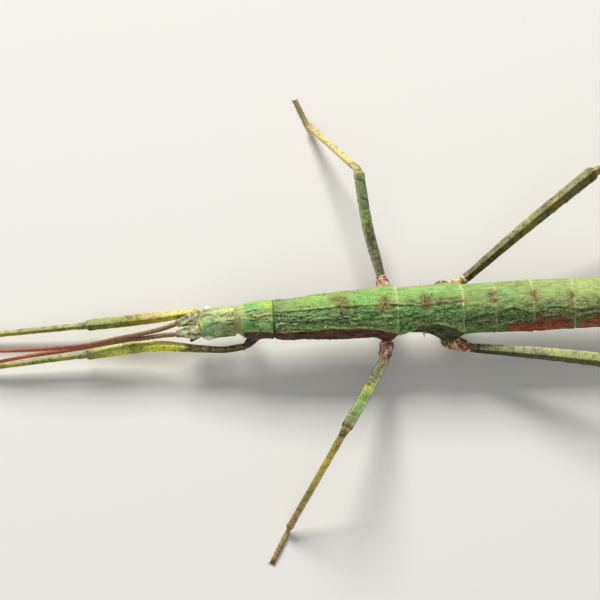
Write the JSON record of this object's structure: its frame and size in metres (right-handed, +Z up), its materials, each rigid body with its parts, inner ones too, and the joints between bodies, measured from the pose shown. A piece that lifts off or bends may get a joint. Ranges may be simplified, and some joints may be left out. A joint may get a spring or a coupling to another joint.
{
  "type": "stick insect",
  "caption": "Life-size still model of a wingless prickly green stick insect, standing with its fore legs stretched forward beside its feelers.",
  "frame": {"origin": "on the floor, under the middle of the whole insect's bounding box, feelers and feet included", "axes": "+X along the body from head to tail, +Y towards the insect's right-hand side, +Z up from the floor"},
  "size_m": [0.1314, 0.0712, 0.0122],
  "materials": {
    "cuticle_green": "knobbly satin green skin plates of the back, red-brown low on the sides",
    "cuticle_head": "fine-grained satin sage green",
    "cuticle_rust": "granular rusty brown",
    "leg_olive": "satin olive green with yellow-green and grey-green bands",
    "feeler_brown": "dull grey-tan to reddish brown",
    "eye": "glossy pale cream with fine grey-brown mottling"
  },
  "bodies": {
    "root": {"head": "cuticle_head", "eye_right": "eye", "eye_left": "eye", "mouthparts": "feeler_brown", "palp_right": "feeler_brown", "palp_left": "feeler_brown", "scape_right": "feeler_brown", "scape_left": "feeler_brown", "flagellum_right": "feeler_brown", "flagellum_left": "feeler_brown", "prothorax": "cuticle_green", "mesothorax": "cuticle_green", "metathorax": "cuticle_green", "median_segment": "cuticle_green", "abdomen_2": "cuticle_green", "abdomen_3": "cuticle_green", "abdomen_4": "cuticle_green", "abdomen_5": "cuticle_green", "abdomen_6": "cuticle_green", "abdomen_7": "cuticle_green", "abdomen_8": "cuticle_green", "abdomen_9": "cuticle_green", "abdomen_10": "cuticle_green", "operculum": "cuticle_green", "cercus_right": "cuticle_green", "cercus_left": "cuticle_green", "coxa_fore_right": "cuticle_rust", "femur_fore_right": "leg_olive", "tibia_fore_right": "leg_olive", "tarsus_fore_right": "leg_olive", "coxa_fore_left": "cuticle_rust", "femur_fore_left": "leg_olive", "tibia_fore_left": "leg_olive", "tarsus_fore_left": "leg_olive", "coxa_middle_right": "cuticle_rust", "femur_middle_right": "leg_olive", "tibia_middle_right": "leg_olive", "tarsus_middle_right": "leg_olive", "coxa_middle_left": "cuticle_rust", "femur_middle_left": "leg_olive", "tibia_middle_left": "leg_olive", "tarsus_middle_left": "leg_olive", "coxa_hind_right": "cuticle_rust", "femur_hind_right": "leg_olive", "tibia_hind_right": "leg_olive", "tarsus_hind_right": "leg_olive", "coxa_hind_left": "cuticle_rust", "femur_hind_left": "leg_olive", "tibia_hind_left": "leg_olive", "tarsus_hind_left": "leg_olive"}
  },
  "joints": []
}
